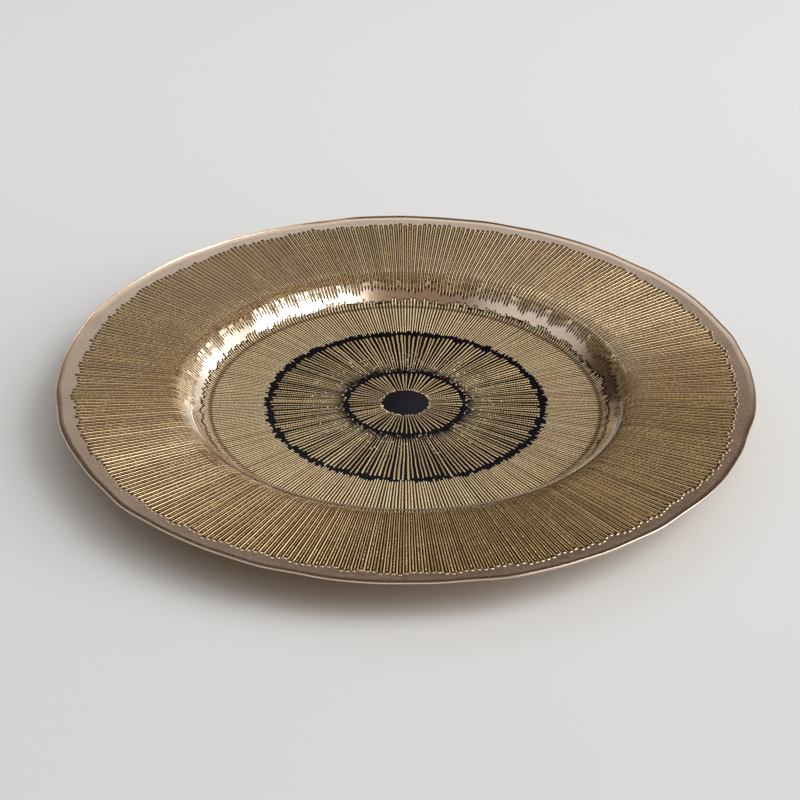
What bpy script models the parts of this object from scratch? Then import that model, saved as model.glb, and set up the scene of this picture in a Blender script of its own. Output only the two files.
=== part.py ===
"""Round glass charger platter, decorated on its underside with lacquer coats.

A clear glass dish carries rings of gold, champagne and black coat under its lower face,
and a protective backing closes them in. Every piece is turned about +Z, the platter stands
on z = 0, and lengths are in metres.
"""
import math

import bpy

# Glass dish, measured on its upper face
PLATE_RADIUS = 0.165
GLASS_THICKNESS = 0.004
WELL_RADIUS = 0.096
WELL_DEPTH = 0.0124
SLOPE_ANGLE = math.radians(41.0)
RIM_ANGLE = math.radians(5.6)
WELL_FILLET = 0.008
SHOULDER_INSIDE_FILLET = 0.0037

# Coats under the glass
COAT_THICKNESS = 0.00035
BACKING_THICKNESS = 0.00035
COAT_GAP = 0.0003

# Coloured zones, from the centre outwards, measured on the lower face of the glass
CENTRE_DISC_RADIUS = 0.0114
INNER_SPOKE_LENGTH = 0.016
INNER_RING_WIDTH = 0.0022
SPOKE_LENGTH = 0.035
OUTER_RING_WIDTH = 0.0032
SLOPE_BAND_OFFSET = 0.0042
SLOPE_BAND_WIDTH = 0.0046
EDGE_MARGIN_WIDTH = 0.0088

# Fineness of the turned surfaces
TURN_STEPS = 72
FILLET_SEGMENTS = 3
EDGE_SEGMENTS = 4
MERGE_DISTANCE = 0.00001

# Depths below the upper face of the glass
COAT_TOP = GLASS_THICKNESS + COAT_GAP
COAT_BOTTOM = COAT_TOP + COAT_THICKNESS
BACKING_TOP = COAT_BOTTOM + COAT_GAP
BACKING_BOTTOM = BACKING_TOP + BACKING_THICKNESS

# Radii where one zone meets the next
INNER_SPOKE_END = CENTRE_DISC_RADIUS + INNER_SPOKE_LENGTH
INNER_RING_END = INNER_SPOKE_END + INNER_RING_WIDTH
SPOKE_END = INNER_RING_END + SPOKE_LENGTH
OUTER_RING_END = SPOKE_END + OUTER_RING_WIDTH
SLOPE_BAND_START = WELL_RADIUS + SLOPE_BAND_OFFSET
SLOPE_BAND_END = SLOPE_BAND_START + SLOPE_BAND_WIDTH
MARGIN_START = PLATE_RADIUS - EDGE_MARGIN_WIDTH


def corner_fillet(corner, slope_before, slope_after, fillet):
    """Points and slopes of the arc that rounds a corner of the upper face."""
    turn = slope_after - slope_before
    side = math.copysign(1.0, turn)
    tangent = fillet * math.tan(abs(turn) / 2)
    start_r = corner[0] - tangent * math.cos(slope_before)
    start_z = corner[1] - tangent * math.sin(slope_before)
    centre_r = start_r - side * fillet * math.sin(slope_before)
    centre_z = start_z + side * fillet * math.cos(slope_before)
    arc = []
    for step in range(FILLET_SEGMENTS + 1):
        slope = slope_before + turn * step / FILLET_SEGMENTS
        r = centre_r + side * fillet * math.sin(slope)
        z = centre_z - side * fillet * math.cos(slope)
        arc.append((r, z, slope))
    return arc


def upper_face():
    """Radius, height and slope along the upper face, from the axis to the rim's edge."""
    floor_z = BACKING_BOTTOM
    shoulder_r = WELL_RADIUS + WELL_DEPTH / math.tan(SLOPE_ANGLE)
    shoulder_z = floor_z + WELL_DEPTH
    shoulder_fillet = SHOULDER_INSIDE_FILLET + BACKING_BOTTOM
    edge_radius = GLASS_THICKNESS / 2
    rim_r = PLATE_RADIUS - edge_radius - edge_radius * math.sin(RIM_ANGLE)
    rim_z = shoulder_z + (rim_r - shoulder_r) * math.tan(RIM_ANGLE)
    face = [(0.0, floor_z, 0.0)]
    face += corner_fillet((WELL_RADIUS, floor_z), 0.0, SLOPE_ANGLE, WELL_FILLET)
    face += corner_fillet((shoulder_r, shoulder_z), SLOPE_ANGLE, RIM_ANGLE, shoulder_fillet)
    face.append((rim_r, rim_z, RIM_ANGLE))
    return face


def face_at_depth(depth):
    """The parallel face that lies a depth below the upper face."""
    return [(r + depth * math.sin(a), z - depth * math.cos(a)) for r, z, a in upper_face()]


def place_on_face(radius):
    """Where the lower face of the glass reaches a radius, as a fractional point number."""
    face = face_at_depth(GLASS_THICKNESS)
    for number in range(len(face) - 1):
        start, end = face[number][0], face[number + 1][0]
        if start <= radius <= end:
            return number + (radius - start) / (end - start)
    return float(len(face) - 1)


def point_between(face, place):
    """The point of a face at a fractional point number."""
    number = min(int(place), len(face) - 2)
    share = place - number
    (r0, z0), (r1, z1) = face[number], face[number + 1]
    return (r0 + (r1 - r0) * share, z0 + (z1 - z0) * share)


def stretch_of_face(depth, inner_radius, outer_radius):
    """The points of one parallel face between two radii, outwards."""
    face = face_at_depth(depth)
    first = place_on_face(inner_radius)
    last = place_on_face(outer_radius)
    between = [face[number] for number in range(len(face)) if first < number < last]
    return [point_between(face, first)] + between + [point_between(face, last)]


def glass_outline():
    """The dish in section: upper face, rounded edge, lower face."""
    edge_radius = GLASS_THICKNESS / 2
    rim_r, rim_z, rim_slope = upper_face()[-1]
    edge_r = rim_r + edge_radius * math.sin(rim_slope)
    edge_z = rim_z - edge_radius * math.cos(rim_slope)
    outline = face_at_depth(0.0)
    for step in range(1, EDGE_SEGMENTS):
        angle = rim_slope + math.pi / 2 - math.pi * step / EDGE_SEGMENTS
        outline.append((edge_r + edge_radius * math.cos(angle), edge_z + edge_radius * math.sin(angle)))
    return outline + face_at_depth(GLASS_THICKNESS)[::-1]


def layer_outline(inner_radius, outer_radius, top_depth, bottom_depth):
    """One layer in section, half a gap clear of the layers beside it."""
    outer = outer_radius - COAT_GAP / 2
    inner = inner_radius + COAT_GAP / 2 if inner_radius else 0.0
    upper = stretch_of_face(top_depth, inner, outer)
    lower = stretch_of_face(bottom_depth, inner, outer)
    return upper + lower[::-1]


def finish(name, colour, roughness, metallic=0.0, transmission=0.0):
    """A Principled material of one colour."""
    material = bpy.data.materials.new(name)
    material.use_nodes = True
    shader = material.node_tree.nodes["Principled BSDF"]
    shader.inputs["Base Color"].default_value = (*colour, 1.0)
    shader.inputs["Roughness"].default_value = roughness
    shader.inputs["Metallic"].default_value = metallic
    shader.inputs["Transmission Weight"].default_value = transmission
    material.diffuse_color = (*colour, 1.0)
    return material


def turned_piece(name, outline, material, platter):
    """Turns an outline about +Z: one that leaves the axis ends on it, any other is a ring."""
    count = len(outline)
    is_ring = min(r for r, z in outline) > MERGE_DISTANCE
    edges = [(number, (number + 1) % count) for number in range(count if is_ring else count - 1)]
    mesh = bpy.data.meshes.new(name)
    mesh.from_pydata([(r, 0.0, z) for r, z in outline], edges, [])
    piece = bpy.data.objects.new(name, mesh)
    piece.data.materials.append(material)
    screw = piece.modifiers.new("turn", "SCREW")
    screw.axis = "Z"
    screw.angle = 2 * math.pi
    screw.steps = TURN_STEPS
    screw.render_steps = TURN_STEPS
    screw.use_merge_vertices = True
    screw.merge_threshold = MERGE_DISTANCE
    screw.use_smooth_shade = True
    piece.parent = platter
    platter.users_collection[0].objects.link(piece)
    return piece


def coat(name, inner_radius, outer_radius, material, platter):
    """A coloured coat on the lower face of the glass."""
    outline = layer_outline(inner_radius, outer_radius, COAT_TOP, COAT_BOTTOM)
    return turned_piece(name, outline, material, platter)


def backing(name, inner_radius, outer_radius, material, platter):
    """A protective layer under the coloured coats."""
    outline = layer_outline(inner_radius, outer_radius, BACKING_TOP, BACKING_BOTTOM)
    return turned_piece(name, outline, material, platter)


def build_platter():
    """Makes every piece of the platter in its own collection."""
    collection = bpy.data.collections.new("glass_platter")
    bpy.context.scene.collection.children.link(collection)
    platter = bpy.data.objects.new("platter_axis", None)
    collection.objects.link(platter)

    clear_glass = finish("clear_glass", (0.95, 0.96, 0.95), 0.03, transmission=1.0)
    turned_piece("glass_plate", glass_outline(), clear_glass, platter)

    gloss_black = (0.012, 0.012, 0.016)
    deep_gold = (0.50, 0.36, 0.18)
    pale_gold = (0.55, 0.43, 0.25)
    champagne = (0.66, 0.55, 0.42)
    bronze = (0.24, 0.17, 0.10)

    disc_finish = finish("centre_black", gloss_black, 0.12)
    coat("black_centre_disc", 0.0, CENTRE_DISC_RADIUS, disc_finish, platter)
    inner_spoke_finish = finish("inner_spoke_gold", pale_gold, 0.3, metallic=1.0)
    coat("inner_spoke_coat", CENTRE_DISC_RADIUS, INNER_SPOKE_END, inner_spoke_finish, platter)
    inner_ring_finish = finish("inner_ring_black", gloss_black, 0.2)
    coat("inner_black_ring", INNER_SPOKE_END, INNER_RING_END, inner_ring_finish, platter)
    spoke_finish = finish("spoke_gold", deep_gold, 0.3, metallic=1.0)
    coat("spoke_gold_coat", INNER_RING_END, SPOKE_END, spoke_finish, platter)
    outer_ring_finish = finish("outer_ring_black", gloss_black, 0.2)
    coat("outer_black_ring", SPOKE_END, OUTER_RING_END, outer_ring_finish, platter)
    well_finish = finish("well_gold", deep_gold, 0.32, metallic=1.0)
    coat("well_gold_coat", OUTER_RING_END, SLOPE_BAND_START, well_finish, platter)
    band_finish = finish("slope_champagne", champagne, 0.22, metallic=1.0)
    coat("slope_champagne_coat", SLOPE_BAND_START, SLOPE_BAND_END, band_finish, platter)
    rim_finish = finish("rim_gold", deep_gold, 0.32, metallic=1.0)
    coat("rim_gold_coat", SLOPE_BAND_END, MARGIN_START, rim_finish, platter)
    margin_finish = finish("margin_champagne", champagne, 0.22, metallic=1.0)
    rim_edge = face_at_depth(GLASS_THICKNESS)[-1][0]
    coat("edge_champagne_coat", MARGIN_START, rim_edge, margin_finish, platter)

    base_edge = face_at_depth(GLASS_THICKNESS)[1][0]
    base_finish = finish("base_bronze", bronze, 0.45)
    backing("base_backing_coat", 0.0, base_edge, base_finish, platter)
    rim_backing_finish = finish("rim_bronze", bronze, 0.4)
    backing("rim_backing_coat", base_edge, rim_edge, rim_backing_finish, platter)


for leftover in list(bpy.data.objects):
    bpy.data.objects.remove(leftover)
build_platter()
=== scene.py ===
"""Looks of a round glass charger platter.

Clear glass lies over a ribbed relief of gold, champagne and black coats, and a bronze backing
closes the underside. The relief is drawn inside the glass, at the depth where the eye sees it.
Lengths are in metres, +Z is up, and the platter stands on z = 0.
"""
import math

import bpy
from mathutils import Matrix, Vector


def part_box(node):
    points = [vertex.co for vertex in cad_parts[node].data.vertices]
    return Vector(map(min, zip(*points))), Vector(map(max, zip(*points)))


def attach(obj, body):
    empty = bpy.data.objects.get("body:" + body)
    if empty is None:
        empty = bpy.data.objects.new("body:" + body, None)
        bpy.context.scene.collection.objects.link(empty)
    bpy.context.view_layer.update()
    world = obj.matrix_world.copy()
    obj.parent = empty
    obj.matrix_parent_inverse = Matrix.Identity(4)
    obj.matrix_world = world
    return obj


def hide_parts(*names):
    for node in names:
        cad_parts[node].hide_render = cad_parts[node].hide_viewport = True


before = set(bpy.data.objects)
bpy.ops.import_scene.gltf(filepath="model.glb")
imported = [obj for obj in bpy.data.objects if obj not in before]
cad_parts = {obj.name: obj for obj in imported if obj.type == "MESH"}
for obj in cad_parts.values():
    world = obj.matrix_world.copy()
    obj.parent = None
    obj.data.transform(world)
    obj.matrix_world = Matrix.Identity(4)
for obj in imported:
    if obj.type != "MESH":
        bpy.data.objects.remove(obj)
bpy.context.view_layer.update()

# The glass dish, on its upper face
PLATE_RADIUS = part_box("glass_plate")[1].x
GLASS_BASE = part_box("glass_plate")[0].z
GLASS_THICKNESS = 0.004
FLOOR_TOP = GLASS_BASE + GLASS_THICKNESS
WELL_RADIUS = 0.09445
WELL_DEPTH = 0.01296
SLOPE_ANGLE = math.radians(45.0)
RIM_ANGLE = math.radians(4.5)
WELL_FILLET = 0.0038
SHOULDER_FILLET = 0.016
RIM_FLAT_END = PLATE_RADIUS - 0.0026

# The thin lip of the edge. Its angles count upwards from straight out.
LIP_RADIUS = 0.0009
LIP_REACH = PLATE_RADIUS + 0.0004
LIP_DROOP = 0.0004
LIP_SKIN = 0.00015
LIP_TOP_ANGLE = math.radians(80.0)
LIP_COAT_ANGLE = math.radians(45.0)
LIP_FOOT_ANGLE = math.radians(-60.0)

# Depths below the upper face. The relief lies where the eye sees it through the glass, which is
# less deep than the glass is thick.
RELIEF_DEPTH = 0.0017
COAT_THICKNESS = 0.00035
SKIN_CLEARANCE = 0.00015
BACKING_CLEARANCE = 0.0001
GLASS_SKIN_DEPTH = RELIEF_DEPTH + COAT_THICKNESS + SKIN_CLEARANCE
BACKING_TOP = GLASS_SKIN_DEPTH + BACKING_CLEARANCE
BACKING_BOTTOM = FLOOR_TOP
RELIEF_FLOOR = FLOOR_TOP - RELIEF_DEPTH

# Zones of the decoration, from the centre outwards
CENTRE_DISC_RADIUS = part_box("black_centre_disc")[1].x
INNER_SPOKE_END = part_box("inner_spoke_coat")[1].x
INNER_RING_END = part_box("inner_black_ring")[1].x
SPOKE_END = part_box("spoke_gold_coat")[1].x
OUTER_RING_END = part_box("outer_black_ring")[1].x
SLOPE_BAND_START = 0.0978
SLOPE_BAND_END = 0.1018
RIB_TIPS = 0.1570

# The coats that the relief stands on, and the backings
CENTRE_DISC_MARGIN = 0.0002
CENTRE_DISC_RAISE = 0.0001
CENTRE_DISC_THICKNESS = 0.0003
WELL_COAT_START = OUTER_RING_END + 0.0024
WELL_COAT_END = SLOPE_BAND_START - 0.0008
WELL_RAISE = 0.0003
WELL_LIP_WIDTH = 0.002
WELL_LIP_ROUND = 0.00012
BLACK_GROUND_END = WELL_COAT_START + 0.0006
CHAMPAGNE_START = 0.0925
BASE_EDGE = 0.093
BACKING_GAP = 0.0002
RIM_BACKING_END = PLATE_RADIUS - 0.0012
CHAMFER_START = PLATE_RADIUS - 0.0050

# Hand-made waves of the edge and of the well coat's outer end: cycles round the plate, depth, phase
EDGE_WAVES = (
    (5, 0.00022, 0.4),
    (11, 0.00024, 2.1),
    (17, 0.00022, 4.4),
    (29, 0.00016, 1.2),
    (41, 0.00010, 5.3),
)
EDGE_WAVE_START = 0.150
WELL_LIP_WAVES = (
    (7, 0.0002, 0.7),
    (19, 0.0002, 2.9),
    (34, 0.00025, 1.1),
    (61, 0.0002, 4.0),
)

# Fineness of the turned surfaces, and where the flat of the rim has points
TURN_STEPS = 540
FILLET_SEGMENTS = 12
LIP_SEGMENTS = 12
RIM_SHARES = (0.3, 0.6, 0.9, 0.97, 0.99, 1.0)


class Graph:
    """Adds linked nodes to a tree in few words."""

    def __init__(self, tree):
        self.tree = tree

    def feed(self, socket, value):
        if isinstance(value, bpy.types.NodeSocket):
            self.tree.links.new(value, socket)
        else:
            socket.default_value = value

    def fill(self, node, inputs):
        for key, value in inputs.items():
            self.feed(node.inputs[key], value)

    def add(self, kind, inputs=None, **settings):
        node = self.tree.nodes.new(kind)
        for name, value in settings.items():
            setattr(node, name, value)
        self.fill(node, inputs or {})
        return node

    def math(self, operation, first, second=0.0, third=0.0):
        inputs = {0: first, 1: second, 2: third}
        return self.add("ShaderNodeMath", inputs, operation=operation).outputs[0]

    def vector(self, x=0.0, y=0.0, z=0.0):
        return self.add("ShaderNodeCombineXYZ", {0: x, 1: y, 2: z}).outputs[0]

    def noise(self, vector, scale, detail=2.0, roughness=0.5):
        inputs = {"Vector": vector, "Scale": scale, "Detail": detail, "Roughness": roughness}
        return self.add("ShaderNodeTexNoise", inputs).outputs[0]

    def remap(self, value, low, high, new_low=0.0, new_high=1.0, interpolation="LINEAR"):
        inputs = {"Value": value, "From Min": low, "From Max": high, "To Min": new_low, "To Max": new_high}
        settings = {"clamp": True, "interpolation_type": interpolation}
        return self.add("ShaderNodeMapRange", inputs, **settings).outputs[0]

    def ease(self, value, low, high, new_low=0.0, new_high=1.0):
        return self.remap(value, low, high, new_low, new_high, "SMOOTHSTEP")

    def along(self, vector, axis):
        inputs = {0: vector, 1: axis}
        return self.add("ShaderNodeVectorMath", inputs, operation="DOT_PRODUCT").outputs["Value"]

    def blend(self, share, first, second):
        return self.add("ShaderNodeMix", {0: share, 6: first, 7: second}, data_type="RGBA").outputs[2]

    def bump(self, height, distance):
        inputs = {"Strength": 1.0, "Distance": distance, "Height": height}
        return self.add("ShaderNodeBump", inputs).outputs[0]


def rgb(red, green, blue):
    return (red, green, blue, 1.0)


# The section of the dish

def corner_fillet(corner, slope_before, slope_after, fillet):
    """Points and slopes of the arc that rounds a corner of the upper face."""
    turn = slope_after - slope_before
    side = math.copysign(1.0, turn)
    tangent = fillet * math.tan(abs(turn) / 2)
    start_r = corner[0] - tangent * math.cos(slope_before)
    start_z = corner[1] - tangent * math.sin(slope_before)
    centre_r = start_r - side * fillet * math.sin(slope_before)
    centre_z = start_z + side * fillet * math.cos(slope_before)
    arc = []
    for step in range(FILLET_SEGMENTS + 1):
        slope = slope_before + turn * step / FILLET_SEGMENTS
        r = centre_r + side * fillet * math.sin(slope)
        z = centre_z - side * fillet * math.cos(slope)
        arc.append((r, z, slope))
    return arc


def upper_face():
    """Radius, height and slope along the upper face, from the axis to where the lip starts."""
    shoulder_r = WELL_RADIUS + WELL_DEPTH / math.tan(SLOPE_ANGLE)
    shoulder_z = FLOOR_TOP + WELL_DEPTH
    rim_z = shoulder_z + (RIM_FLAT_END - shoulder_r) * math.tan(RIM_ANGLE)
    face = [(0.0, FLOOR_TOP, 0.0)]
    face += corner_fillet((WELL_RADIUS, FLOOR_TOP), 0.0, SLOPE_ANGLE, WELL_FILLET)
    face += corner_fillet((shoulder_r, shoulder_z), SLOPE_ANGLE, RIM_ANGLE, SHOULDER_FILLET)
    start_r, start_z, slope = face[-1]
    for share in RIM_SHARES:
        r = start_r + (RIM_FLAT_END - start_r) * share
        z = start_z + (rim_z - start_z) * share
        face.append((r, z, slope))
    return face


def face_at_depth(depth):
    """The parallel face that lies a depth below the upper face."""
    return [(r + depth * math.sin(a), z - depth * math.cos(a)) for r, z, a in upper_face()]


def stretch_of_face(depth, inner_radius, outer_radius):
    """The points of one parallel face between two radii, outwards."""
    face = face_at_depth(depth)
    points = []
    for (r0, z0), (r1, z1) in zip(face, face[1:]):
        for r in (inner_radius, outer_radius):
            if r0 <= r < r1:
                points.append((r, z0 + (z1 - z0) * (r - r0) / (r1 - r0)))
        if inner_radius < r1 < outer_radius:
            points.append((r1, z1))
    if face[-1][0] <= outer_radius:
        points.append(face[-1])
    return sorted(set(points))


def lip_arc(inset, first_angle, last_angle):
    """Points round the lip of the edge, an inset inside it, between two angles."""
    rim_r, rim_z, slope = upper_face()[-1]
    centre_r = LIP_REACH - LIP_RADIUS
    centre_z = rim_z + (centre_r - rim_r) * math.tan(slope) - LIP_DROOP - LIP_RADIUS
    points = []
    for step in range(LIP_SEGMENTS + 1):
        angle = first_angle + (last_angle - first_angle) * step / LIP_SEGMENTS
        r = centre_r + (LIP_RADIUS - inset) * math.cos(angle)
        z = centre_z + (LIP_RADIUS - inset) * math.sin(angle)
        points.append((r, z))
    return points


def glass_outline():
    """The dish in section: upper face, lip and lower face."""
    lower = stretch_of_face(GLASS_SKIN_DEPTH, 0.0, RIM_FLAT_END)
    return face_at_depth(0.0) + lip_arc(0.0, LIP_TOP_ANGLE, LIP_FOOT_ANGLE) + lower[::-1]


def champagne_outline():
    """The champagne coat in section: it lies under slope and rim, and turns up into the lip."""
    end = RIM_FLAT_END - 2 * LIP_SKIN
    upper = stretch_of_face(RELIEF_DEPTH, CHAMPAGNE_START, end)
    lower = stretch_of_face(RELIEF_DEPTH + COAT_THICKNESS, CHAMPAGNE_START, end)
    inside = lip_arc(LIP_SKIN + COAT_THICKNESS, LIP_FOOT_ANGLE, LIP_COAT_ANGLE)
    outside = lip_arc(LIP_SKIN, LIP_COAT_ANGLE, LIP_FOOT_ANGLE)
    return upper + inside + outside + lower[::-1]


def well_outline():
    """The raised coat of the well in section, with a rounded lip at its outer end."""
    top = RELIEF_DEPTH - WELL_RAISE
    end = WELL_COAT_END + WELL_LIP_ROUND
    upper = stretch_of_face(top, WELL_COAT_START, WELL_COAT_END)
    upper += stretch_of_face(top, WELL_COAT_END - WELL_LIP_WIDTH, WELL_COAT_END)
    lip = stretch_of_face(RELIEF_DEPTH - WELL_RAISE * 0.5, WELL_COAT_END, end)[-1:]
    lower = stretch_of_face(RELIEF_DEPTH + COAT_THICKNESS * 0.5, WELL_COAT_START, end)
    return sorted(set(upper)) + lip + lower[::-1]


def rim_backing_outline():
    """The backing of slope and rim in section, with a chamfer below the lip."""
    start = BASE_EDGE + BACKING_GAP
    upper = stretch_of_face(BACKING_TOP, start, RIM_BACKING_END)
    lower = stretch_of_face(BACKING_BOTTOM, start, CHAMFER_START)
    return upper + lower[::-1]


def disc_outline(radius, top, bottom):
    """A flat disc in section."""
    return [(0.0, top), (radius, top), (radius, bottom), (0.0, bottom)]


# Turned pieces

def wave_at(waves, angle):
    """The height of a sum of waves at an angle round the plate."""
    return sum(depth * math.sin(cycles * angle + phase) for cycles, depth, phase in waves)


def wavy_radius(r, angle):
    """A radius moved with the edge's wave, which fades out towards the middle of the rim."""
    share = min(max((r - EDGE_WAVE_START) / (PLATE_RADIUS - EDGE_WAVE_START), 0.0), 1.0)
    return r + wave_at(EDGE_WAVES, angle) * share * share * (3 - 2 * share)


def well_lip(r, z, angle):
    """Moves the outer end of the well's coat up and down the slope in slow waves."""
    share = min(max((r - (WELL_COAT_END - WELL_LIP_WIDTH)) / WELL_LIP_WIDTH, 0.0), 1.0)
    move = share * wave_at(WELL_LIP_WAVES, angle)
    return r + move, z + move * math.tan(SLOPE_ANGLE)


def new_object(name, mesh):
    piece = bpy.data.objects.new(name, mesh)
    bpy.context.scene.collection.objects.link(piece)
    return piece


def turned_piece(name, outline, material=None, reshape=None):
    """Turns a section about +Z into one closed mesh. A section that starts on the axis ends there too."""
    on_axis = outline[0][0] == 0.0
    columns = [(r, z) for r, z in outline if r > 0.0]
    count = len(columns)
    points = []
    faces = []
    caps = []
    top = TURN_STEPS * count
    bottom = top + 1
    for step in range(TURN_STEPS):
        angle = 2 * math.pi * step / TURN_STEPS
        for r, z in columns:
            if reshape:
                r, z = reshape(r, z, angle)
            r = wavy_radius(r, angle)
            points.append((r * math.cos(angle), r * math.sin(angle), z))
        here = step * count
        ahead = (step + 1) % TURN_STEPS * count
        for number in range(count - 1 if on_axis else count):
            after = (number + 1) % count
            faces.append((here + number, here + after, ahead + after, ahead + number))
        caps.append((top, here, ahead))
        caps.append((bottom, ahead + count - 1, here + count - 1))
    if on_axis:
        points += [(0.0, 0.0, outline[0][1]), (0.0, 0.0, outline[-1][1])]
        faces += caps
    mesh = bpy.data.meshes.new(name)
    mesh.from_pydata(points, [], faces)
    if material:
        mesh.materials.append(material)
    mesh.shade_smooth()
    mesh.update()
    return new_object(name, mesh)


# Geometry Nodes trees

RAY_HEIGHT = 0.1
RAY_LENGTH = 1.0


def new_tree(name, inputs):
    """A geometry tree with named inputs, and the socket identifier of each."""
    tree = bpy.data.node_groups.new(name, "GeometryNodeTree")
    tree.interface.new_socket("Geometry", in_out="INPUT", socket_type="NodeSocketGeometry")
    tree.interface.new_socket("Geometry", in_out="OUTPUT", socket_type="NodeSocketGeometry")
    identifiers = {}
    for kind, input_names in inputs.items():
        for input_name in input_names:
            socket = tree.interface.new_socket(input_name, in_out="INPUT", socket_type="NodeSocket" + kind)
            identifiers[input_name] = socket.identifier
    return tree, identifiers


def laid_on(graph, ground, radius, angle):
    """The point of a ground piece straight below a place given by radius and angle."""
    x = graph.math("MULTIPLY", radius, graph.math("COSINE", angle))
    y = graph.math("MULTIPLY", radius, graph.math("SINE", angle))
    surface = graph.add("GeometryNodeObjectInfo", {"Object": ground}, transform_space="RELATIVE")
    rays = {
        "Target Geometry": surface.outputs["Geometry"],
        "Source Position": graph.vector(x, y, RAY_HEIGHT),
        "Ray Direction": (0.0, 0.0, -1.0),
        "Ray Length": RAY_LENGTH,
    }
    return graph.add("GeometryNodeRaycast", rays).outputs["Hit Position"]


def draw(graph, low, high, number, seed, salt):
    """One random number for each copy. Each use has a salt of its own."""
    inputs = {2: low, 3: high, "ID": number, "Seed": graph.math("ADD", seed, salt)}
    return graph.add("FunctionNodeRandomValue", inputs, data_type="FLOAT").outputs[1]


def keep_attribute(graph, geometry, name, value):
    """Stores a value at every point, for a later node or for the finish."""
    inputs = {"Geometry": geometry, "Name": name, "Value": value}
    node = graph.add("GeometryNodeStoreNamedAttribute", inputs, data_type="FLOAT", domain="POINT")
    return node.outputs[0]


def finished(graph, geometry, material):
    """Plain geometry with a finish on it."""
    plain = graph.add("GeometryNodeRealizeInstances", {"Geometry": geometry}).outputs[0]
    return graph.add("GeometryNodeSetMaterial", {"Geometry": plain, "Material": material}).outputs[0]


# A rib's rail has stations at its ends and tips, and more where its ground bends
RIB_STATIONS = 12
STOP_STATIONS = (0, 2, 4, 7, 9, 11)
LEAST_TAPER = 0.03
LEAST_STUB = 0.00001
WAVE_SEED_STEP = 3.7
SWAY_SEED_STEP = 0.37

RIB_INPUTS = {
    "Object": ("Ground",),
    "Material": ("Finish",),
    "Int": ("Seed", "Count", "Sides"),
    "Bool": ("Faceted",),
    "Float": (
        "Inner Radius", "Outer Radius", "Inner Wave", "Outer Wave", "Inner Jitter", "Outer Jitter",
        "Inner Tip", "Outer Tip", "Bend Start", "Bend End", "Wave Scale", "Offset", "Angle Jitter",
        "Stub Length", "Sway", "Sway Scale", "Width Share", "Width Jitter", "Height Ratio", "Sink Ratio",
        "Fullness",
    ),
}


def rib_section(graph, given):
    """A half-round section, one unit to each side, with a flat foot sunk into the ground."""
    line = graph.add("GeometryNodeCurvePrimitiveLine").outputs[0]
    line = graph.add("GeometryNodeResampleCurve", {"Curve": line, "Count": given["Sides"]}).outputs[0]
    turn = graph.math("MULTIPLY", graph.add("GeometryNodeSplineParameter").outputs["Factor"], math.pi)
    bulge = graph.math("POWER", graph.math("MAXIMUM", graph.math("SINE", turn), 0.0), given["Fullness"])
    rise = graph.math("ADD", given["Height Ratio"], given["Sink Ratio"])
    height = graph.math("SUBTRACT", graph.math("MULTIPLY", bulge, rise), given["Sink Ratio"])
    across = graph.math("COSINE", turn)
    line = keep_attribute(graph, line, "across", across)
    left = graph.math("MULTIPLY", across, -1.0)
    down = graph.math("MULTIPLY", height, -1.0)
    place = {"Geometry": line, "Position": graph.vector(left, down, 0.0)}
    line = graph.add("GeometryNodeSetPosition", place).outputs[0]
    return graph.add("GeometryNodeSetSplineCyclic", {"Geometry": line, "Cyclic": True}).outputs[0]


def rib_rails(graph, given):
    """One rail for each rib, and the rib's number."""
    line = graph.add("GeometryNodeCurvePrimitiveLine").outputs[0]
    line = graph.add("GeometryNodeResampleCurve", {"Curve": line, "Count": RIB_STATIONS}).outputs[0]
    inputs = {"Geometry": line, "Amount": given["Count"]}
    copies = graph.add("GeometryNodeDuplicateElements", inputs, domain="SPLINE")
    return copies.outputs[0], copies.outputs["Duplicate Index"]


def rib_angle(graph, given, number):
    """The direction of each rib from the axis."""
    stray = draw(graph, -0.5, 0.5, number, given["Seed"], salt=2)
    shift = graph.math("MULTIPLY", stray, given["Angle Jitter"])
    place = graph.math("ADD", graph.math("ADD", number, given["Offset"]), shift)
    step = graph.math("DIVIDE", 2 * math.pi, given["Count"])
    return graph.math("MULTIPLY", place, step)


def rib_end(graph, given, number, angle, side, salt):
    """The radius of each rib's inner or outer end: slow waves round the plate and a quick jitter."""
    seed = given["Seed"]
    level = graph.math("MULTIPLY", graph.math("ADD", seed, salt), WAVE_SEED_STEP)
    place = graph.vector(graph.math("COSINE", angle), graph.math("SINE", angle), level)
    swell = graph.math("SUBTRACT", graph.noise(place, given["Wave Scale"], detail=1.5), 0.5)
    slow = graph.math("MULTIPLY", swell, graph.math("MULTIPLY", given[side + " Wave"], 2.0))
    quick = graph.math("MULTIPLY", draw(graph, -1.0, 1.0, number, seed, salt), given[side + " Jitter"])
    return graph.math("ADD", given[side + " Radius"], graph.math("ADD", slow, quick))


def rib_radius(graph, given, start, end):
    """The radius of each station of a rail. The stations crowd together towards both ends."""
    place = graph.add("GeometryNodeSplineParameter").outputs["Index"]
    least = graph.math("ADD", start, given["Inner Tip"])
    most = graph.math("SUBTRACT", end, given["Outer Tip"])
    bend_start = graph.math("MINIMUM", graph.math("MAXIMUM", given["Bend Start"], least), most)
    bend_end = graph.math("MINIMUM", graph.math("MAXIMUM", given["Bend End"], least), most)
    stops = (start, least, bend_start, bend_end, most, end)
    last = len(stops) - 2
    radius = start
    for number in range(last + 1):
        share = graph.remap(place, STOP_STATIONS[number], STOP_STATIONS[number + 1])
        if number == 0:
            share = graph.math("SUBTRACT", 1.0, graph.math("SQRT", graph.math("SUBTRACT", 1.0, share)))
        if number == last:
            share = graph.math("SQRT", share)
        length = graph.math("SUBTRACT", stops[number + 1], stops[number])
        radius = graph.math("MULTIPLY_ADD", share, length, radius)
    return radius


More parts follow.
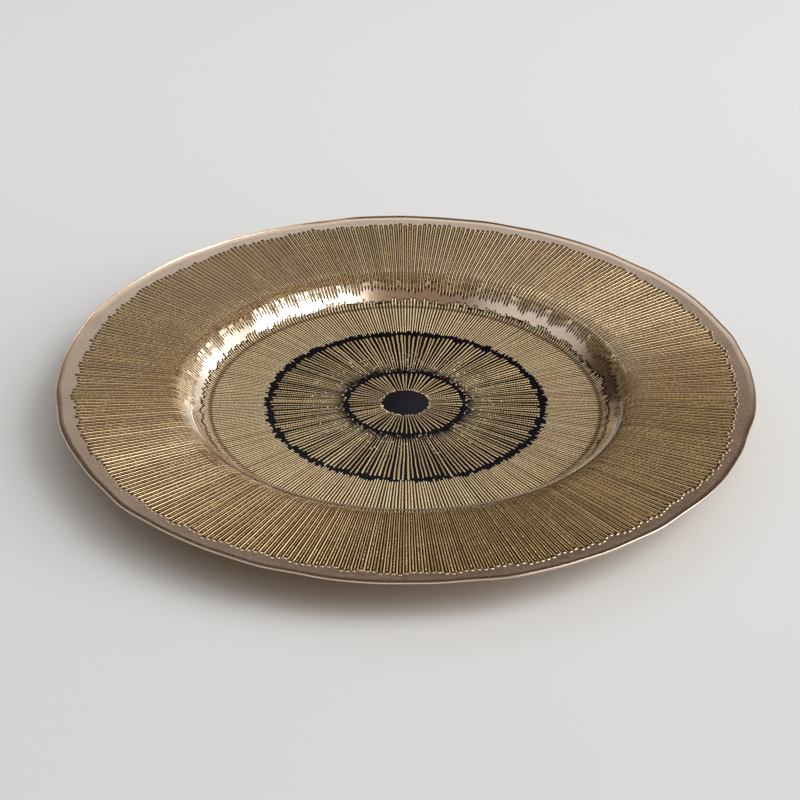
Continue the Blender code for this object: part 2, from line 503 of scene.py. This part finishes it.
def swayed_angle(graph, given, radius, angle):
    """A rib's direction, which strays sideways along its length."""
    x = graph.math("MULTIPLY", radius, graph.math("COSINE", angle))
    y = graph.math("MULTIPLY", radius, graph.math("SINE", angle))
    spot = graph.vector(x, y, graph.math("MULTIPLY", given["Seed"], SWAY_SEED_STEP))
    bend = graph.math("SUBTRACT", graph.noise(spot, given["Sway Scale"]), 0.5)
    sideways = graph.math("MULTIPLY", bend, graph.math("MULTIPLY", given["Sway"], 2.0))
    return graph.math("ADD", angle, graph.math("DIVIDE", sideways, radius))


def rib_half_width(graph, given, number, radius):
    """Half the width of a rib, as a share of the space that it has."""
    half_pitch = graph.math("MULTIPLY", radius, graph.math("DIVIDE", math.pi, given["Count"]))
    stray = draw(graph, -1.0, 1.0, number, given["Seed"], salt=5)
    variety = graph.math("MULTIPLY_ADD", stray, given["Width Jitter"], 1.0)
    return graph.math("MULTIPLY", graph.math("MULTIPLY", half_pitch, given["Width Share"]), variety)


def rib_tree():
    """Ribs that run outwards over a ground piece, each with its own ends, sway and width."""
    tree, identifiers = new_tree("ribs_on_ground", RIB_INPUTS)
    graph = Graph(tree)
    given = graph.add("NodeGroupInput").outputs
    rails, number = rib_rails(graph, given)
    angle = rib_angle(graph, given, number)
    start = rib_end(graph, given, number, angle, "Inner", salt=3)
    end = rib_end(graph, given, number, angle, "Outer", salt=4)

    # A stub is cut off a length inside the outer end
    whole = graph.math("LESS_THAN", given["Stub Length"], LEAST_STUB)
    cut = graph.math("SUBTRACT", end, given["Stub Length"])
    start = graph.math("MULTIPLY_ADD", whole, graph.math("SUBTRACT", start, cut), cut)

    radius = rib_radius(graph, given, start, end)
    turned = swayed_angle(graph, given, radius, angle)
    inputs = {"Geometry": rails, "Position": laid_on(graph, given["Ground"], radius, turned)}
    laid = graph.add("GeometryNodeSetPosition", inputs).outputs[0]

    to_start = graph.math("DIVIDE", graph.math("SUBTRACT", radius, start), given["Inner Tip"])
    to_end = graph.math("DIVIDE", graph.math("SUBTRACT", end, radius), given["Outer Tip"])
    near = graph.math("MINIMUM", graph.math("MINIMUM", to_start, to_end), 1.0)
    near_end = graph.math("MINIMUM", to_end, 1.0)
    taper = graph.math("SQRT", graph.math("MULTIPLY", near, graph.math("SUBTRACT", 2.0, near)))
    half_width = rib_half_width(graph, given, number, radius)
    scale = graph.math("MULTIPLY", half_width, graph.math("MAXIMUM", taper, LEAST_TAPER))

    laid = keep_attribute(graph, laid, "along", radius)
    laid = keep_attribute(graph, laid, "tip", graph.math("SUBTRACT", 1.0, near))
    laid = keep_attribute(graph, laid, "outer_tip", graph.math("SUBTRACT", 1.0, near_end))
    laid = keep_attribute(graph, laid, "tone", draw(graph, 0.0, 1.0, number, given["Seed"], salt=6))
    laid = keep_attribute(graph, laid, "rib_scale", scale)
    laid = graph.add("GeometryNodeSetCurveNormal", {"Curve": laid}, mode="Z_UP").outputs[0]
    size = graph.add("GeometryNodeInputNamedAttribute", {"Name": "rib_scale"}, data_type="FLOAT").outputs[0]
    inputs = {"Curve": laid, "Profile Curve": rib_section(graph, given), "Scale": size, "Fill Caps": True}
    ribs = graph.add("GeometryNodeCurveToMesh", inputs).outputs[0]
    smooth = graph.math("SUBTRACT", 1.0, given["Faceted"])
    ribs = graph.add("GeometryNodeSetShadeSmooth", {"Geometry": ribs, "Shade Smooth": smooth}).outputs[0]
    graph.add("NodeGroupOutput", {0: finished(graph, ribs, given["Finish"])})
    return tree, identifiers


BEAD_STRETCH = 2.4

BEAD_INPUTS = {
    "Object": ("Ground",),
    "Material": ("Finish",),
    "Int": ("Seed", "Count"),
    "Float": ("Inner Radius", "Outer Radius", "Crowding", "Least Bead", "Largest Bead", "Flatness"),
}


def bead_tree():
    """Small drops scattered over a ring of a ground piece, closer together towards its inner side."""
    tree, identifiers = new_tree("beads_on_ground", BEAD_INPUTS)
    graph = Graph(tree)
    given = graph.add("NodeGroupInput").outputs
    seed = given["Seed"]
    row = graph.add("GeometryNodeMeshLine", {"Count": given["Count"]}).outputs[0]
    number = graph.add("GeometryNodeInputIndex").outputs[0]
    share = graph.math("POWER", draw(graph, 0.0, 1.0, number, seed, salt=1), given["Crowding"])
    width = graph.math("SUBTRACT", given["Outer Radius"], given["Inner Radius"])
    radius = graph.math("ADD", given["Inner Radius"], graph.math("MULTIPLY", share, width))
    angle = draw(graph, 0.0, 2 * math.pi, number, seed, salt=2)
    hit = laid_on(graph, given["Ground"], radius, angle)
    spots = graph.add("GeometryNodeSetPosition", {"Geometry": row, "Position": hit}).outputs[0]
    bead = graph.add("GeometryNodeMeshIcoSphere", {"Radius": 1.0, "Subdivisions": 1}).outputs[0]
    size = draw(graph, given["Least Bead"], given["Largest Bead"], number, seed, salt=3)
    length = graph.math("MULTIPLY", size, draw(graph, 1.0, BEAD_STRETCH, number, seed, salt=4))
    height = graph.math("MULTIPLY", size, given["Flatness"])
    turn = graph.add("FunctionNodeEulerToRotation", {0: graph.vector(0.0, 0.0, angle)}).outputs[0]
    scale = graph.vector(length, size, height)
    inputs = {"Points": spots, "Instance": bead, "Rotation": turn, "Scale": scale}
    beads = graph.add("GeometryNodeInstanceOnPoints", inputs).outputs[0]
    beads = finished(graph, beads, given["Finish"])
    beads = graph.add("GeometryNodeSetShadeSmooth", {"Geometry": beads}).outputs[0]
    graph.add("NodeGroupOutput", {0: beads})
    return tree, identifiers


def grown_piece(name, tree_and_inputs, values):
    """Runs a tree with its inputs set, and keeps the result as a plain mesh."""
    tree, identifiers = tree_and_inputs
    carrier = new_object(name + "_carrier", bpy.data.meshes.new(name + "_carrier"))
    modifier = carrier.modifiers.new("grow", "NODES")
    modifier.node_group = tree
    for input_name, value in values.items():
        modifier[identifiers[input_name]] = value
    graph = bpy.context.evaluated_depsgraph_get()
    grown = carrier.evaluated_get(graph)
    mesh = bpy.data.meshes.new_from_object(grown, preserve_all_data_layers=True, depsgraph=graph)
    carrier.modifiers.remove(modifier)
    bpy.data.objects.remove(carrier)
    mesh.name = name
    return new_object(name, mesh)


# Finishes

# Radii over which the inner ends of ribs come out of the shade. With these, none are in it.
NO_SHADE = (0.0, 0.001)
# Painted shade in the fold at the foot of the slope
FOLD_SHADE = (0.15, 0.08, 0.03)
RIPPLE_PHASES = 40.0
RIPPLE_STRAY = 9.0
RIPPLE_HEIGHT = 0.6
CLOUD_SHARE = 0.25
# Painted shade down the flanks of the ribs: how soft its edge is and how dark it gets
FLANK_BLEND = 0.16
FLANK_SHARE = 0.95
FINE_BUMP = 0.00005
FAINT_BUMP = 0.00002
COARSE_BUMP = 0.0001

BRONZE_LIGHT = (0.84, 0.58, 0.37)
BRONZE_DARK = (0.70, 0.46, 0.28)

# How much the glass mirrors: straight on, what a low angle adds, and the bend at the shoulder
MIRROR_LEAST = 0.010
MIRROR_GAIN = 0.60
MIRROR_POWER = 5.0
GLARE_START = (0.101, 0.104)
GLARE_END = (0.111, 0.115)
GLARE_SLANT = (0.57, 0.70)
GLARE_LEVEL = 0.92


def new_finish(name):
    material = bpy.data.materials.new(name)
    material.use_nodes = True
    graph = Graph(material.node_tree)
    shader = material.node_tree.nodes["Principled BSDF"]
    return material, graph, shader


def object_point(graph):
    return graph.add("ShaderNodeTexCoord").outputs["Object"]


def rib_value(graph, name):
    return graph.add("ShaderNodeAttribute", attribute_name=name).outputs["Fac"]


def ribbed_gold(name, body, light, flank, flank_start, ripple_length, ripple_tint, tip_highlight, metallic,
                shade_range=NO_SHADE, fold_shade_radius=0.0, tone_spread=0.0):
    """Lacquer of the ribs, speckled and rippled along the back, with painted shade down both flanks and a
    painted highlight at the tips.

    It is also darker, with painted shade, below the shade range, and browner with painted shade in the
    fold at the foot of the slope.
    """
    material, graph, shader = new_finish(name)
    point = object_point(graph)
    along = rib_value(graph, "along")
    tone = rib_value(graph, "tone")
    grain = graph.noise(point, scale=1400.0, roughness=0.6)
    cloud = graph.noise(point, scale=70.0)
    phase = graph.math("MULTIPLY", tone, RIPPLE_PHASES)
    stray = graph.math("MULTIPLY_ADD", graph.noise(point, scale=300.0, detail=1.0), RIPPLE_STRAY, phase)
    ripple = graph.math("SINE", graph.math("MULTIPLY_ADD", along, 2 * math.pi / ripple_length, stray))
    height = graph.math("MULTIPLY_ADD", ripple, RIPPLE_HEIGHT, grain)

    bright = graph.math("MULTIPLY_ADD", ripple, ripple_tint, grain)
    bright = graph.math("MULTIPLY_ADD", cloud, CLOUD_SHARE, bright)
    # Painted highlight: the ends of each rib are painted lighter, as if lit
    bright = graph.math("MULTIPLY_ADD", graph.ease(rib_value(graph, "tip"), 0.0, 0.6), tip_highlight, bright)
    bright = graph.math("MULTIPLY_ADD", graph.math("SUBTRACT", tone, 0.5), tone_spread, bright)
    colour = graph.blend(graph.ease(bright, 0.60, 0.82), rgb(*body), rgb(*light))
    # Painted shade: below the shade range the ribs blend towards the flank colour
    colour = graph.blend(graph.ease(along, *shade_range, 0.6, 1.0), rgb(*flank), colour)
    # Painted shade: a brown band where the coat folds at the foot of the slope
    from_shaded_fold = graph.math("ABSOLUTE", graph.math("SUBTRACT", along, fold_shade_radius))
    colour = graph.blend(graph.ease(from_shaded_fold, 0.0004, 0.0017, 0.75, 0.0), colour, rgb(*FOLD_SHADE))
    # Painted shade: both flanks of each rib are painted dark with the flank colour
    side = graph.math("ABSOLUTE", rib_value(graph, "across"))
    shade = graph.ease(side, flank_start, flank_start + FLANK_BLEND, 0.0, FLANK_SHARE)
    graph.fill(shader, {
        "Base Color": graph.blend(shade, colour, rgb(*flank)),
        "Metallic": metallic,
        "Specular IOR Level": 0.12,
        "Roughness": graph.remap(grain, 0.3, 0.7, 0.32, 0.40),
        "Normal": graph.bump(height, FINE_BUMP),
    })
    return material


def shaded_ground(name, dark, light, edge=None):
    """Matt lacquer between the ribs, painted dark as shade. The wall round a rib's outer end can have a
    bright edge.
    """
    material, graph, shader = new_finish(name)
    grain = graph.noise(object_point(graph), scale=900.0, detail=3.0, roughness=0.65)
    colour = graph.blend(graph.ease(grain, 0.35, 0.65), rgb(*dark), rgb(*light))
    roughness = 0.5
    if edge:
        # The wall round the outer end is pale and mirror-like, so the lamps brighten it
        wall = graph.ease(rib_value(graph, "outer_tip"), 0.20, 0.45)
        colour = graph.blend(wall, colour, rgb(*edge))
        roughness = graph.remap(wall, 0.0, 1.0, 0.5, 0.3)
        graph.feed(shader.inputs["Metallic"], wall)
    graph.fill(shader, {
        "Base Color": colour,
        "Specular IOR Level": 0.0,
        "Roughness": roughness,
        "Normal": graph.bump(grain, FINE_BUMP),
    })
    return material


def champagne(name, light, dark, roughness, metallic=1.0):
    """Smooth pale metallic lacquer with a faint mottle."""
    material, graph, shader = new_finish(name)
    point = object_point(graph)
    mottle = graph.noise(point, scale=420.0, detail=3.0, roughness=0.6)
    cloud = graph.noise(point, scale=45.0)
    share = graph.math("ADD", graph.math("MULTIPLY", mottle, 0.6), graph.math("MULTIPLY", cloud, 0.4))
    graph.fill(shader, {
        "Base Color": graph.blend(share, rgb(*light), rgb(*dark)),
        "Metallic": metallic,
        "Roughness": graph.remap(mottle, 0.3, 0.7, roughness, roughness + 0.06),
        "Normal": graph.bump(mottle, FAINT_BUMP),
    })
    return material


def plain_black(name, colour):
    """Black lacquer with a trace of blue."""
    material, graph, shader = new_finish(name)
    graph.fill(shader, {"Base Color": rgb(*colour), "Roughness": 0.5, "Specular IOR Level": 0.0})
    return material


def clear_glass(name):
    """Polished glass with slow waves, a clear face that mirrors more the lower it is looked across."""
    material, graph, shader = new_finish(name)
    point = object_point(graph)
    normal = graph.bump(graph.noise(point, scale=55.0, detail=1.0), FINE_BUMP)
    slant = graph.add("ShaderNodeLayerWeight", {"Blend": 0.5, "Normal": normal}).outputs["Facing"]
    mirror = graph.math("MULTIPLY_ADD", graph.math("POWER", slant, MIRROR_POWER), MIRROR_GAIN, MIRROR_LEAST)
    inputs = {0: point, 1: (1.0, 1.0, 0.0)}
    level = graph.add("ShaderNodeVectorMath", inputs, operation="MULTIPLY").outputs[0]
    radius = graph.add("ShaderNodeVectorMath", {0: level}, operation="LENGTH").outputs["Value"]
    past_start = graph.ease(radius, *GLARE_START)
    before_end = graph.ease(radius, *GLARE_END, 1.0, 0.0)
    at_shoulder = graph.math("MULTIPLY", past_start, before_end)
    glare = graph.math("MULTIPLY", at_shoulder, graph.ease(slant, *GLARE_SLANT, 0.0, GLARE_LEVEL))
    graph.fill(shader, {
        "Base Color": rgb(1.0, 1.0, 1.0),
        "Metallic": 1.0,
        "Roughness": 0.0,
        "Normal": normal,
        "Alpha": graph.math("MAXIMUM", mirror, glare),
    })
    return material


def bronze_backing(name):
    """Protective lacquer of the underside."""
    material, graph, shader = new_finish(name)
    mottle = graph.noise(object_point(graph), scale=350.0, detail=3.0, roughness=0.6)
    graph.fill(shader, {
        "Base Color": graph.blend(mottle, rgb(*BRONZE_LIGHT), rgb(*BRONZE_DARK)),
        "Metallic": 0.3,
        "Roughness": graph.remap(mottle, 0.3, 0.7, 0.38, 0.5),
        "Normal": graph.bump(mottle, COARSE_BUMP),
    })
    return material


def gold_finishes():
    """The finishes of the rim's, the well's and the centre's ribs."""
    # Painted shade: near-black browns for the flanks of the ribs
    brown = (0.022, 0.011, 0.004)
    deep = (0.014, 0.008, 0.003)
    # The rim's ribs are also painted darker, as shade, towards the shoulder; the well's carry painted shade
    # in the fold
    rim = ribbed_gold(
        "rim_gold_lacquer", body=(0.31, 0.181, 0.059), light=(0.99, 0.68, 0.26), flank=brown,
        flank_start=0.58, ripple_length=0.0021, ripple_tint=0.07, tip_highlight=0.15, metallic=0.15,
        shade_range=(0.1010, 0.1075), tone_spread=0.08)
    well = ribbed_gold(
        "well_gold_lacquer", body=(0.72, 0.53, 0.285), light=(1.0, 0.86, 0.59), flank=deep,
        flank_start=0.66, ripple_length=0.0018, ripple_tint=0.14, tip_highlight=0.30, metallic=0.15,
        fold_shade_radius=0.0938)
    spoke = ribbed_gold(
        "spoke_gold_lacquer", body=(0.37, 0.245, 0.100), light=(1.0, 0.82, 0.48), flank=deep,
        flank_start=0.74, ripple_length=0.0012, ripple_tint=0.42, tip_highlight=0.35, metallic=0.50,
        tone_spread=0.36)
    return {"rim gold": rim, "well gold": well, "spoke gold": spoke}


def make_finishes():
    """Every finish of the platter."""
    finishes = gold_finishes()
    # Painted shade: the coats between the ribs are painted near-black
    finishes["rim brown"] = shaded_ground(
        "rim_shade_lacquer", (0.009, 0.0045, 0.0016), (0.027, 0.0145, 0.0055))
    # Painted shade: the rib tips are painted dark, with a pale mirror-like wall at their outer ends
    finishes["tip gold"] = shaded_ground(
        "tip_shade_lacquer", (0.03, 0.018, 0.007), (0.12, 0.075, 0.028), edge=(0.92, 0.75, 0.47))
    finishes["well brown"] = shaded_ground("well_shade_lacquer", (0.012, 0.007, 0.003), (0.05, 0.03, 0.013))
    finishes["champagne"] = champagne("champagne_lacquer", (0.90, 0.73, 0.58), (0.76, 0.60, 0.47), 0.17)
    finishes["cream"] = champagne("cream_lacquer", (1.0, 0.86, 0.62), (0.90, 0.72, 0.45), 0.30, 0.85)
    finishes["beige"] = champagne("beige_lacquer", (0.92, 0.72, 0.47), (0.76, 0.57, 0.35), 0.30, 0.52)
    finishes["black"] = plain_black("black_lacquer", (0.003, 0.003, 0.007))
    finishes["centre black"] = plain_black("centre_black_lacquer", (0.012, 0.012, 0.019))
    finishes["bronze"] = bronze_backing("bronze_lacquer")
    finishes["glass"] = clear_glass("polished_glass")
    return finishes


# Pieces

FINE_RIB_COUNT = 366
GUIDE_START = 0.001


def show(piece, slot, *nodes):
    """Fixes a piece to the platter and hides the solids that it stands for."""
    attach(piece, "root")
    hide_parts(*nodes)


def relief_guide(depth):
    """A plain face that ribs are laid on, from near the axis to the lip. It is removed at the end."""
    upper = stretch_of_face(depth, GUIDE_START, RIM_FLAT_END)
    lower = stretch_of_face(depth + COAT_THICKNESS, GUIDE_START, RIM_FLAT_END)
    return turned_piece("relief_guide", upper + lower[::-1])


def make_grounds(finishes):
    """The glass, and the smooth coats that the relief stands on."""
    show(turned_piece("glass_dish", glass_outline(), finishes["glass"]), "clear_glass", "glass_plate")
    ground = turned_piece("champagne_ground", champagne_outline(), finishes["champagne"])
    show(ground, "slope_champagne", "slope_champagne_coat", "edge_champagne_coat")
    outline = disc_outline(BLACK_GROUND_END, RELIEF_FLOOR, RELIEF_FLOOR - COAT_THICKNESS)
    disc = turned_piece("black_ground", outline, finishes["black"])
    show(disc, "outer_ring_black", "inner_black_ring", "outer_black_ring")
    eye_top = RELIEF_FLOOR + CENTRE_DISC_RAISE
    eye_edge = CENTRE_DISC_RADIUS + CENTRE_DISC_MARGIN
    outline = disc_outline(eye_edge, eye_top, eye_top - CENTRE_DISC_THICKNESS)
    eye = turned_piece("centre_disc", outline, finishes["centre black"])
    show(eye, "centre_black", "black_centre_disc")
    # The well's coat between its ribs is painted dark as shade
    well = turned_piece("well_ground", well_outline(), finishes["well brown"], well_lip)
    show(well, "well_gold", "well_gold_coat")


def make_rim(ribs, guide, finishes):
    """The rim's roots, dark with painted shade, its ribs, the walls round their outer ends and the pale
    lines between them.
    """
    common = {
        "Ground": guide, "Seed": 3, "Count": FINE_RIB_COUNT, "Bend Start": 0.1062, "Bend End": 0.1135,
        "Inner Wave": 0.0034, "Outer Wave": 0.0032, "Wave Scale": 14.0, "Sway": 0.0004, "Sway Scale": 90.0,
    }
    rounded = common | {
        "Sides": 5, "Inner Jitter": 0.0009, "Outer Jitter": 0.0008, "Angle Jitter": 0.06,
        "Width Jitter": 0.06,
    }
    rim_roots = grown_piece("rim_roots", ribs, rounded | {
        "Finish": finishes["rim brown"], "Inner Radius": SLOPE_BAND_END - 0.0010,
        "Outer Radius": RIB_TIPS + 0.0005, "Inner Tip": 0.0042, "Outer Tip": 0.0026,
        "Width Share": 0.98, "Height Ratio": 0.1, "Sink Ratio": 0.15, "Fullness": 0.4})
    show(rim_roots, "rim_gold", "rim_gold_coat")
    rim_ribs = grown_piece("rim_ribs", ribs, rounded | {
        "Finish": finishes["rim gold"], "Inner Radius": SLOPE_BAND_END,
        "Outer Radius": RIB_TIPS - 0.0007, "Inner Tip": 0.0034, "Outer Tip": 0.0011,
        "Width Share": 0.34, "Height Ratio": 0.36, "Sink Ratio": 0.15, "Fullness": 0.6})
    show(rim_ribs, "rim_gold", "rim_gold_coat")
    rim_tips = grown_piece("rim_tips", ribs, rounded | {
        "Finish": finishes["tip gold"], "Stub Length": 0.0024, "Faceted": True,
        "Outer Radius": RIB_TIPS + 0.0006, "Inner Tip": 0.0016, "Outer Tip": 0.0007,
        "Width Share": 0.74, "Height Ratio": 0.27, "Sink Ratio": 0.1, "Fullness": 0.45})
    show(rim_tips, "rim_gold", "rim_gold_coat")
    rim_lines = grown_piece("rim_lines", ribs, common | {
        "Finish": finishes["beige"], "Sides": 3, "Offset": 0.5, "Faceted": True,
        "Inner Radius": SLOPE_BAND_END, "Outer Radius": RIB_TIPS - 0.0006, "Inner Jitter": 0.0008,
        "Inner Tip": 0.0014, "Outer Tip": 0.0008, "Width Share": 0.25, "Width Jitter": 0.4,
        "Height Ratio": 0.5, "Sink Ratio": 0.3, "Fullness": 1.0})
    show(rim_lines, "slope_champagne", "slope_champagne_coat")


def make_well(ribs, guide, finishes):
    """The roots of the well, dark with painted shade, and its ribs."""
    common = {
        "Ground": guide, "Seed": 8, "Count": FINE_RIB_COUNT, "Sides": 5, "Bend Start": 0.0925,
        "Bend End": 0.0968, "Inner Wave": 0.0008, "Outer Wave": 0.0016, "Inner Jitter": 0.0012,
        "Outer Jitter": 0.0009, "Inner Tip": 0.001, "Wave Scale": 11.0, "Angle Jitter": 0.12,
        "Sway": 0.0003, "Sway Scale": 150.0, "Width Jitter": 0.14,
    }
    well_roots = grown_piece("well_roots", ribs, common | {
        "Finish": finishes["well brown"], "Inner Radius": OUTER_RING_END + 0.0015,
        "Outer Radius": SLOPE_BAND_START + 0.0002, "Outer Tip": 0.0016, "Width Share": 0.98,
        "Height Ratio": 0.1, "Sink Ratio": 0.3, "Fullness": 0.4})
    show(well_roots, "well_gold", "well_gold_coat")
    well_ribs = grown_piece("well_ribs", ribs, common | {
        "Finish": finishes["well gold"], "Inner Radius": OUTER_RING_END,
        "Outer Radius": SLOPE_BAND_START - 0.0003, "Outer Tip": 0.0012, "Width Share": 0.57,
        "Height Ratio": 0.4, "Sink Ratio": 0.2, "Fullness": 0.6})
    show(well_ribs, "well_gold", "well_gold_coat")


def make_spokes(ribs, guide, finishes):
    """The two rings of spokes on black."""
    common = {
        "Ground": guide, "Finish": finishes["spoke gold"], "Sides": 5, "Outer Tip": 0.001,
        "Sink Ratio": 0.2, "Fullness": 0.6,
    }
    spokes = grown_piece("outer_spokes", ribs, common | {
        "Seed": 21, "Count": 183, "Inner Radius": INNER_RING_END + 0.0006, "Outer Radius": SPOKE_END,
        "Bend Start": 0.045, "Bend End": 0.055, "Inner Wave": 0.001, "Outer Wave": 0.001,
        "Inner Jitter": 0.0012, "Outer Jitter": 0.0012, "Inner Tip": 0.016, "Wave Scale": 9.0,
        "Angle Jitter": 0.3, "Sway": 0.0005, "Sway Scale": 150.0, "Width Share": 0.41,
        "Width Jitter": 0.36, "Height Ratio": 0.32})
    show(spokes, "spoke_gold", "spoke_gold_coat")
    inner_spokes = grown_piece("inner_spokes", ribs, common | {
        "Seed": 34, "Count": 73, "Inner Radius": CENTRE_DISC_RADIUS + 0.0002,
        "Outer Radius": INNER_SPOKE_END, "Bend Start": 0.016, "Bend End": 0.023,
        "Inner Wave": 0.0002, "Outer Wave": 0.0008,
        "Inner Jitter": 0.0002, "Outer Jitter": 0.0006, "Inner Tip": 0.0006, "Wave Scale": 4.0,
        "Angle Jitter": 0.35, "Sway": 0.0004, "Sway Scale": 200.0, "Width Share": 0.38,
        "Width Jitter": 0.3, "Height Ratio": 0.34})
    show(inner_spokes, "inner_spoke_gold", "inner_spoke_coat")


def make_specks(guide, finishes):
    """Specks of gold outside the inner ring and round the centre disc."""
    beads = bead_tree()
    common = {"Ground": guide, "Finish": finishes["cream"]}
    gold_specks = grown_piece("gold_specks", beads, common | {
        "Seed": 5, "Count": 380, "Inner Radius": INNER_RING_END - 0.0003, "Outer Radius": 0.047,
        "Crowding": 1.5, "Least Bead": 0.00014, "Largest Bead": 0.00031, "Flatness": 1.6})
    show(gold_specks, "spoke_gold", "spoke_gold_coat")
    pupil_specks = grown_piece("pupil_specks", beads, common | {
        "Seed": 6, "Count": 110, "Inner Radius": CENTRE_DISC_RADIUS,
        "Outer Radius": CENTRE_DISC_RADIUS + 0.0012, "Crowding": 1.3, "Least Bead": 0.00015,
        "Largest Bead": 0.0003, "Flatness": 1.4})
    show(pupil_specks, "inner_spoke_gold", "inner_spoke_coat")


def make_backings(finishes):
    """The closed underside: a disc that the platter stands on, and a ring under slope and rim."""
    outline = disc_outline(BASE_EDGE, FLOOR_TOP - BACKING_TOP, 0.0)
    base = turned_piece("base_backing", outline, finishes["bronze"])
    show(base, "base_bronze", "base_backing_coat")
    rim_back = turned_piece("rim_backing", rim_backing_outline(), finishes["bronze"])
    show(rim_back, "rim_bronze", "rim_backing_coat")


def make_platter():
    finishes = make_finishes()
    make_grounds(finishes)
    ribs = rib_tree()
    low_guide = relief_guide(RELIEF_DEPTH)
    well_guide = relief_guide(RELIEF_DEPTH - WELL_RAISE)
    make_rim(ribs, low_guide, finishes)
    make_well(ribs, well_guide, finishes)
    make_spokes(ribs, low_guide, finishes)
    make_specks(low_guide, finishes)
    for guide in (low_guide, well_guide):
        bpy.data.objects.remove(guide)
    make_backings(finishes)


# Camera, light and floor

CAMERA_DISTANCE = 0.8835
CAMERA_ELEVATION = math.radians(32.13)
CAMERA_ROLL = math.radians(0.71)
FOCAL_PIXELS = 1830.0
IMAGE_PIXELS = 800.0
IMAGE_OFFSET = (5.52, 2.67)
SENSOR_WIDTH = 36.0
NEAREST_SEEN = 0.01

LAMP_DISTANCE = 5.0
WHITE = (1.0, 1.0, 1.0)
DAYLIGHT = (1.0, 1.0, 0.99)

# The room is dim low down and brighter above, from one height to the other
DIM_HEIGHT = math.sin(math.radians(26.0))
BRIGHT_HEIGHT = math.sin(math.radians(50.0))
DIM_LEVEL = 0.025
BRIGHT_LEVEL = 0.27

# Bright parts of the room: direction, cosines where each starts and is full, level
ROOM_LIGHTS = (
    ((0.88, -0.40, 0.26), 0.78, 0.97, 1.2),
    ((0.58, 0.81, 0.08), 0.85, 0.96, 0.80),
    ((-0.76, 0.02, 0.65), 0.82, 0.96, 0.45),
)

# A pale wall behind the platter, brighter above a slanting line
WALL_DIRECTION = (-0.15, 0.80, 0.58)
WALL_EDGE = (0.80, 0.93)
WALL_SLANT = (-0.27, 0.0, 0.963)
WALL_RISE = (0.465, 0.585)
WALL_LEVELS = (0.02, 0.58)

# Dim light is warm, bright light is neutral
TINT_LEVELS = (0.12, 0.5)
WARM_TINT = (1.0, 0.68, 0.42)
NEUTRAL_TINT = (1.0, 0.99, 0.98)

FLOOR_SIZE = 12.0
# Painted light: the floor's colour runs from darker near the camera to lighter at the back
FLOOR_SHADE = (-0.35, 0.5)
FLOOR_NEAR = (0.655, 0.675, 0.685)
FLOOR_FAR = (0.755, 0.775, 0.785)


def make_camera():
    data = bpy.data.cameras.new("photo_camera")
    data.sensor_width = SENSOR_WIDTH
    data.lens = FOCAL_PIXELS / IMAGE_PIXELS * SENSOR_WIDTH
    data.shift_x = -IMAGE_OFFSET[0] / IMAGE_PIXELS
    data.shift_y = IMAGE_OFFSET[1] / IMAGE_PIXELS
    data.clip_start = NEAREST_SEEN
    camera = new_object("photo_camera", data)
    back = Vector((0.0, -math.cos(CAMERA_ELEVATION), math.sin(CAMERA_ELEVATION)))
    up = Vector((0.0, math.sin(CAMERA_ELEVATION), math.cos(CAMERA_ELEVATION)))
    axes = Matrix((Vector((1.0, 0.0, 0.0)), up, back)).transposed().to_4x4()
    place = Matrix.Translation(back * CAMERA_DISTANCE + Vector((0.0, 0.0, RELIEF_FLOOR)))
    camera.matrix_world = place @ axes @ Matrix.Rotation(CAMERA_ROLL, 4, "Z")
    bpy.context.scene.camera = camera


def area_light(name, direction, width, height, power, colour=WHITE):
    data = bpy.data.lights.new(name, "AREA")
    data.shape = "RECTANGLE"
    data.size = width
    data.size_y = height
    data.energy = power
    data.color = colour
    lamp = new_object(name, data)
    away = Vector(direction).normalized()
    lamp.location = away * LAMP_DISTANCE
    lamp.rotation_euler = away.to_track_quat("Z", "Y").to_euler()
    return lamp


def make_lamps():
    """Four soft lamps. The fill is hidden from reflections, and the window lights reflections only."""
    area_light("key_light", (0.835, -0.07, 0.545), width=2.4, height=5.0, power=172.0, colour=DAYLIGHT)
    fill = area_light("fill_light", (0.26, -0.30, 0.92), width=5.0, height=5.0, power=67.0)
    fill.visible_glossy = False
    window = area_light(
        "window_light", (0.82, 0.44, 0.36), width=3.7, height=2.6, power=55.0, colour=DAYLIGHT)
    window.visible_diffuse = False
    area_light("softbox", (0.52, -0.32, 0.79), width=2.2, height=2.2, power=38.0)


def make_world():
    """A room that is dim low down and brighter above, with three bright parts and a pale wall behind."""
    world = bpy.data.worlds.new("studio")
    world.use_nodes = True
    graph = Graph(world.node_tree)
    direction = object_point(graph)
    height = graph.add("ShaderNodeSeparateXYZ", {0: direction}).outputs[2]
    light = graph.ease(height, DIM_HEIGHT, BRIGHT_HEIGHT, DIM_LEVEL, BRIGHT_LEVEL)
    for aim, start, full, level in ROOM_LIGHTS:
        light = graph.math("ADD", light, graph.ease(graph.along(direction, aim), start, full, 0.0, level))
    behind = graph.ease(graph.along(direction, WALL_DIRECTION), *WALL_EDGE)
    raised = graph.ease(graph.along(direction, WALL_SLANT), *WALL_RISE, *WALL_LEVELS)
    light = graph.math("MULTIPLY_ADD", behind, raised, light)
    tint = graph.blend(graph.ease(light, *TINT_LEVELS), rgb(*WARM_TINT), rgb(*NEUTRAL_TINT))
    graph.fill(world.node_tree.nodes["Background"], {"Color": tint, "Strength": light})
    bpy.context.scene.world = world


def make_floor():
    """A pale table top with painted light: a little lighter towards the back."""
    material, graph, shader = new_finish("pale_floor")
    back = graph.add("ShaderNodeSeparateXYZ", {0: object_point(graph)}).outputs[1]
    colour = graph.blend(graph.ease(back, *FLOOR_SHADE), rgb(*FLOOR_NEAR), rgb(*FLOOR_FAR))
    graph.fill(shader, {"Base Color": colour, "Roughness": 0.7, "Specular IOR Level": 0.2})
    bpy.ops.mesh.primitive_plane_add(size=FLOOR_SIZE)
    floor = bpy.context.object
    floor.name = "floor"
    floor.data.materials.append(material)


make_platter()
make_camera()
make_lamps()
make_world()
make_floor()
bpy.context.scene.view_settings.view_transform = "Standard"
